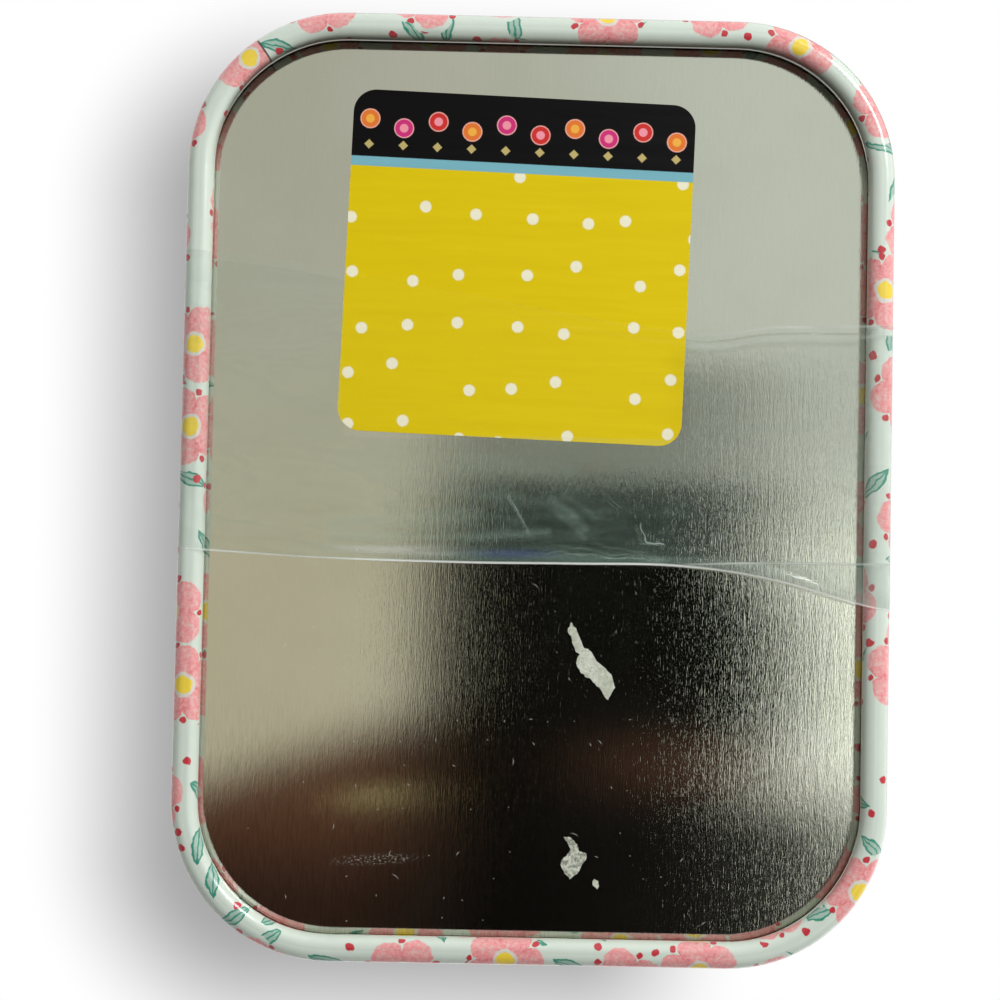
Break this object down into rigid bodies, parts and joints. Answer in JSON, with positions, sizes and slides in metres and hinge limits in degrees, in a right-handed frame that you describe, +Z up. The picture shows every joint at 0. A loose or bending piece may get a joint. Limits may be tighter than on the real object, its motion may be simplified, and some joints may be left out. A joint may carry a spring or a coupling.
{
  "type": "storage tin",
  "caption": "Rectangular sheet-metal storage tin with rounded corners, flush hinged lid, rolled rim round a recessed bare base plate, square sticker and clear film band under the base.",
  "frame": {"origin": "centre of the tin's footprint, on the plane that the tin stands on", "axes": "+Z up from base to lid, +X along the long side, +Y towards the hinge at the rear"},
  "size_m": [0.1016, 0.0778, 0.0318],
  "materials": {
    "printed_tinplate": "floral print under clear semi-gloss lacquer",
    "bare_tinplate": "bare tin-coated sheet with fine grain and light scratches",
    "steel_wire": "drawn wire",
    "sticker": "coated paper, soft gloss",
    "clear_film": "thin clear film, glossy"
  },
  "bodies": {
    "body": {"body_wall": "printed_tinplate", "base_plate": "bare_tinplate", "hinge_pin": "steel_wire", "label": "sticker", "clear_film": "clear_film"},
    "lid": {"lid": "printed_tinplate"}
  },
  "joints": [
    {"name": "lid_hinge", "type": "hinge", "parent": "body", "child": "lid", "pos_m": [0, 0.03799, 0.0234], "axis": [-1, 0, 0], "range_deg": [0, 180]}
  ]
}
